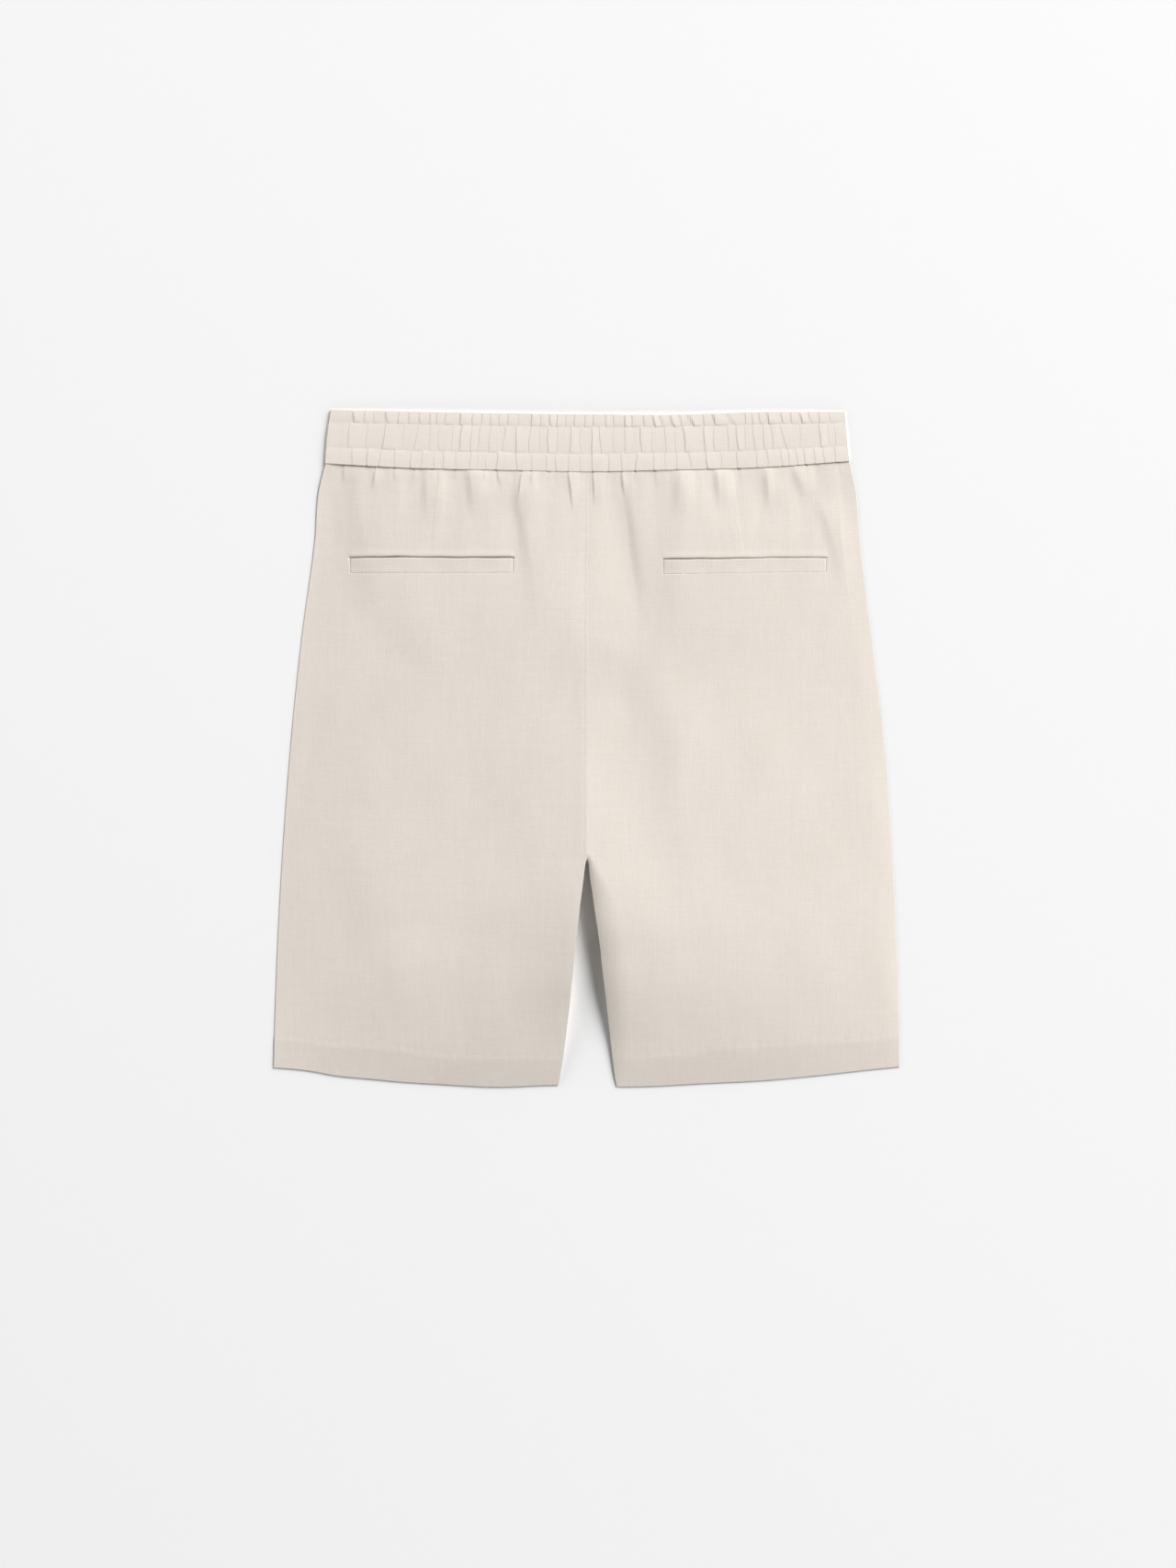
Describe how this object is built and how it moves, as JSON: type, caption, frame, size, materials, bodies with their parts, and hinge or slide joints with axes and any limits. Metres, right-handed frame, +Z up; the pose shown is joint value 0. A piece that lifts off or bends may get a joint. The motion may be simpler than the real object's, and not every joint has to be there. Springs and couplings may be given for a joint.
{
  "type": "bermuda shorts",
  "caption": "Linen bermuda shorts laid flat with the back up: elasticated gathered waistband, darts, welt pockets and turned hems.",
  "frame": {"origin": "on the surface the shorts lie on, under the centre of their box", "axes": "+Y from the hems to the waistband, +X toward the wearer's right side seam, +Z up out of the back"},
  "size_m": [0.5447, 0.5897, 0.0073],
  "materials": {
    "linen": "matt plain-weave linen, natural undyed",
    "linen_waistband": "matt plain-weave linen, gathered over elastic"
  },
  "bodies": {
    "root": {"back_left": "linen", "back_right": "linen", "front_left": "linen", "front_right": "linen", "waistband_back": "linen_waistband", "waistband_front": "linen_waistband", "welt_left": "linen", "welt_right": "linen"}
  },
  "joints": []
}
